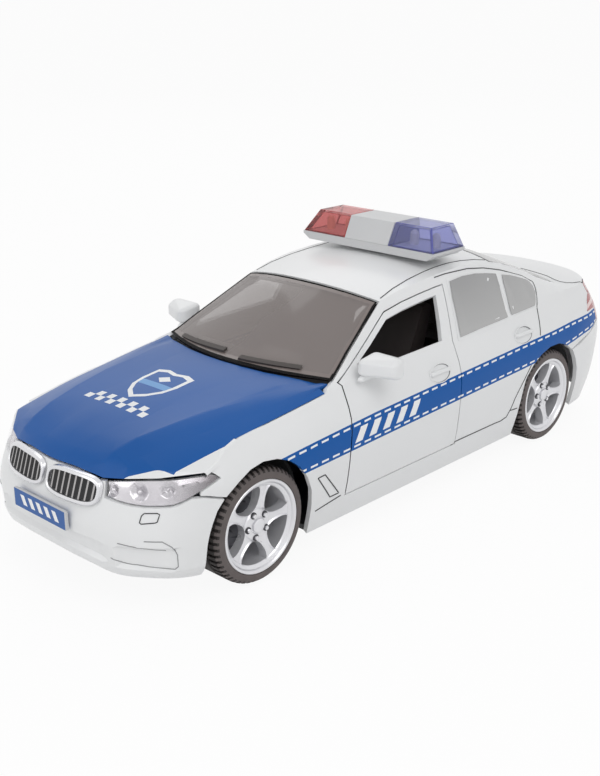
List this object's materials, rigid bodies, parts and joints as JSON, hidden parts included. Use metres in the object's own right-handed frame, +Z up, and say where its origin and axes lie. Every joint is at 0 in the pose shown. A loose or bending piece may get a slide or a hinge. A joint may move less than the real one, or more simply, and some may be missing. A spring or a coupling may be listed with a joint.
{
  "type": "toy police car",
  "caption": "Toy police saloon with opening front doors, free-rolling wheels on a friction drive, a press-down roof light bar and a fitted interior.",
  "frame": {"origin": "on the floor under the middle of the car", "axes": "+X forward to the bonnet, +Y to the car's left, +Z up"},
  "size_m": [0.29, 0.121, 0.1004],
  "materials": {
    "white_body": "semi-gloss",
    "blue_print": "semi-gloss print",
    "plated": "bright silver plating",
    "black_plastic": "satin",
    "clear_lens": "clear",
    "red_lens": "gloss",
    "smoke_screen": "smoky clear",
    "grey_window": "satin",
    "steel": "plain",
    "dark_plastic": "satin",
    "board": "satin",
    "speaker_grey": "satin",
    "bar_grey": "satin",
    "bar_red": "clear red",
    "bar_blue": "clear blue",
    "ivory_plastic": "satin",
    "tyre_rubber": "matte",
    "flywheel_metal": "plain"
  },
  "bodies": {
    "base": {"body_shell": "white_body", "hood": "blue_print", "front_bumper": "white_body", "rear_bumper": "white_body", "grille_rings": "plated", "grille_inserts": "black_plastic", "front_plate": "blue_print", "rear_plate": "blue_print", "headlight_lens_left": "clear_lens", "headlight_lens_right": "clear_lens", "headlight_reflectors": "plated", "tail_light_left": "red_lens", "tail_light_right": "red_lens", "windshield": "smoke_screen", "windshield_seal": "black_plastic", "rear_window": "grey_window", "side_glass_left": "grey_window", "side_glass_right": "grey_window", "wipers": "black_plastic", "hinge_pins": "steel", "hinge_brackets": "dark_plastic", "interior_tub": "black_plastic", "dashboard": "black_plastic", "steering_wheel": "black_plastic", "front_seat_left": "black_plastic", "front_seat_right": "black_plastic", "rear_bench": "black_plastic", "chassis_base": "dark_plastic", "chassis_screws": "steel", "battery_cover": "dark_plastic", "battery_screw": "steel", "battery_cells": "steel", "circuit_board": "board", "speaker": "speaker_grey", "push_switch": "dark_plastic", "gearbox_left": "dark_plastic", "gearbox_right": "dark_plastic"},
    "door_left": {"front_door_left": "white_body", "door_mirror_left": "white_body", "hinge_arms_left": "white_body"},
    "door_right": {"front_door_right": "white_body", "door_mirror_right": "white_body", "hinge_arms_right": "white_body"},
    "front_wheels": {"front_axle": "steel", "tyres_front": "tyre_rubber", "rims_front": "plated", "brake_discs_front": "speaker_grey"},
    "rear_wheels": {"rear_axle": "steel", "tyres_rear": "tyre_rubber", "rims_rear": "plated", "brake_discs_rear": "speaker_grey", "axle_gear": "ivory_plastic"},
    "idler": {"idler_gear": "ivory_plastic"},
    "flywheel": {"flywheel": "flywheel_metal"},
    "light_bar": {"light_bar_base": "bar_grey", "light_bar_block": "bar_grey", "lens_red": "bar_red", "lens_blue": "bar_blue", "light_bar_lamps": "ivory_plastic"}
  },
  "joints": [
    {"name": "door_left_swing", "type": "hinge", "parent": "base", "child": "door_left", "pos_m": [0.05471, 0.04759, 0.03], "axis": [0, 0, -1], "range_deg": [0, 60]},
    {"name": "door_right_swing", "type": "hinge", "parent": "base", "child": "door_right", "pos_m": [0.05471, -0.04759, 0.03], "axis": [0, 0, 1], "range_deg": [0, 60]},
    {"name": "front_wheel_spin", "type": "hinge", "parent": "base", "child": "front_wheels", "pos_m": [0.0928, 0, 0.02045], "axis": [0, 1, 0], "continuous": true},
    {"name": "rear_wheel_spin", "type": "hinge", "parent": "base", "child": "rear_wheels", "pos_m": [-0.0822, 0, 0.02045], "axis": [0, 1, 0], "continuous": true},
    {"name": "idler_spin", "type": "hinge", "parent": "base", "child": "idler", "pos_m": [-0.07097, 0, 0.02243], "axis": [0, 1, 0], "continuous": true},
    {"name": "flywheel_spin", "type": "hinge", "parent": "base", "child": "flywheel", "pos_m": [-0.05897, 0, 0.02243], "axis": [0, 1, 0], "continuous": true},
    {"name": "light_bar_press", "type": "slide", "parent": "base", "child": "light_bar", "axis": [0, 0, -1], "range_m": [0, 0.0009], "stiffness_N_per_m": 800, "springref_m": -0.0005}
  ],
  "couplings": [
    {"joint": "idler_spin", "follows": "rear_wheel_spin", "ratio": -2.8},
    {"joint": "flywheel_spin", "follows": "rear_wheel_spin", "ratio": 8.4}
  ]
}
